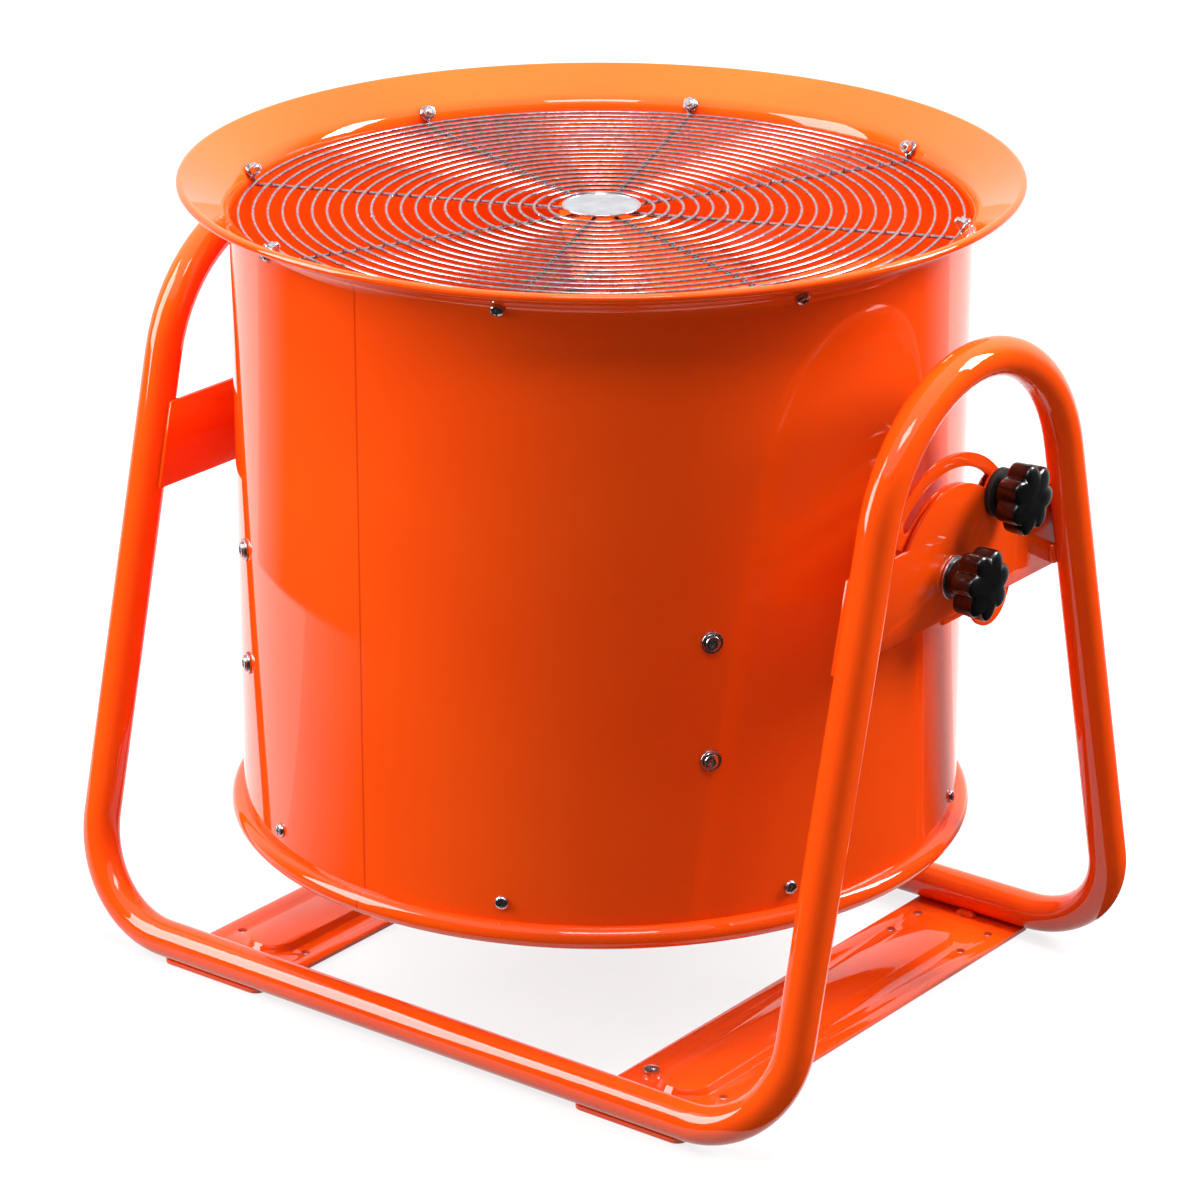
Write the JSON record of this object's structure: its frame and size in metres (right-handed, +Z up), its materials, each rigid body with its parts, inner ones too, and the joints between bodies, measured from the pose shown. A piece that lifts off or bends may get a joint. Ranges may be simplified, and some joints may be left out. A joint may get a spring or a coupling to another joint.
{
  "type": "drum fan",
  "caption": "Portable drum fan: a ducted axial fan with a bell mouth, wire guards and hose bead, tilting between the arches of a tube stand with star-knob clamps.",
  "frame": {"origin": "on the floor, below the middle of the drum", "axes": "+Z up along the drum's axis, +X along the tilt axis towards the side with the tilt lock, -Y towards the front rail"},
  "size_m": [0.654, 0.581, 0.585],
  "materials": {
    "orange_powder": "gloss powder coat",
    "zinc_steel": "bright zinc",
    "chrome_wire": "polished",
    "badge_grey": "satin",
    "black_gloss_plastic": "gloss",
    "black_rubber": "matt",
    "nylon": "matt",
    "motor_paint": "satin paint",
    "core_steel": "laminated",
    "shaft_steel": "turned",
    "copper": "enamelled wire",
    "orange_blade": "gloss powder coat",
    "hub_iron": "black paint",
    "box_plastic": "fine texture"
  },
  "bodies": {
    "stand": {"frame_tube_right": "orange_powder", "frame_tube_left": "orange_powder", "rail_sleeves": "zinc_steel", "cross_plate_right": "orange_powder", "cross_plate_left": "orange_powder", "plate_screw": "zinc_steel", "rail_weld_beads": "orange_powder", "pivot_strap_right": "orange_powder", "pivot_strap_left": "orange_powder", "strap_weld_beads": "orange_powder", "lock_bolt": "zinc_steel", "lock_rubber_washer": "black_rubber"},
    "drum": {"pivot_bracket_right": "orange_powder", "pivot_bracket_left": "orange_powder", "pivot_weld_nuts": "zinc_steel", "friction_washers": "nylon", "knob_washers": "zinc_steel", "drum_shell": "orange_powder", "inlet_guard": "chrome_wire", "outlet_guard": "chrome_wire", "guard_badge": "badge_grey", "inlet_guard_screws": "zinc_steel", "inlet_guard_nuts": "zinc_steel", "outlet_guard_screws": "zinc_steel", "outlet_guard_nuts": "zinc_steel", "motor_arms": "orange_powder", "arm_cup_washers": "zinc_steel", "arm_bolts": "zinc_steel", "arm_nuts": "zinc_steel", "motor_foot_bolts": "zinc_steel", "motor_housing": "motor_paint", "motor_end_bell_top": "motor_paint", "motor_end_bell_bottom": "motor_paint", "end_bell_screws": "zinc_steel", "bearing_top": "shaft_steel", "bearing_bottom": "shaft_steel", "stator_core": "core_steel", "stator_windings": "copper", "terminal_box": "box_plastic", "terminal_box_lid": "box_plastic", "switch_box": "box_plastic", "switch_box_lid": "box_plastic", "rocker_switch_body": "box_plastic", "cable_gland": "box_plastic", "motor_lead": "black_rubber", "lead_grommet": "black_rubber", "cover_screws": "zinc_steel"},
    "impeller": {"motor_shaft": "shaft_steel", "rotor_core": "core_steel", "impeller_spider": "hub_iron", "impeller_blades": "orange_blade", "blade_rivets": "shaft_steel", "hub_washer": "hub_iron", "hub_nut": "zinc_steel"},
    "pivot_knob_right": {"pivot_stud_right": "zinc_steel", "pivot_knob_right": "black_gloss_plastic"},
    "pivot_knob_left": {"pivot_stud_left": "zinc_steel", "pivot_knob_left": "black_gloss_plastic"},
    "lock_knob": {"lock_knob": "black_gloss_plastic"},
    "switch_rocker": {"rocker_button": "black_gloss_plastic"}
  },
  "joints": [
    {"name": "drum_tilt", "type": "hinge", "parent": "stand", "child": "drum", "pos_m": [0, 0, 0.355], "axis": [1, 0, 0], "range_deg": [-90, 0]},
    {"name": "impeller_spin", "type": "hinge", "parent": "drum", "child": "impeller", "pos_m": [0, 0, 0.355], "axis": [0, 0, 1], "continuous": true},
    {"name": "pivot_knob_right_turn", "type": "hinge", "parent": "drum", "child": "pivot_knob_right", "pos_m": [0.3, 0, 0.355], "axis": [1, 0, 0], "range_deg": [0, 360]},
    {"name": "pivot_knob_left_turn", "type": "hinge", "parent": "drum", "child": "pivot_knob_left", "pos_m": [-0.3, 0, 0.355], "axis": [-1, 0, 0], "range_deg": [0, 360]},
    {"name": "lock_knob_turn", "type": "hinge", "parent": "stand", "child": "lock_knob", "pos_m": [0.3, 0.05128, 0.40117], "axis": [1, 0, 0], "range_deg": [0, 360]},
    {"name": "switch_rocker_tip", "type": "hinge", "parent": "drum", "child": "switch_rocker", "pos_m": [-0.09645, 0.26499, 0.315], "axis": [-0.9397, -0.342, 0], "range_deg": [0, 14]}
  ]
}
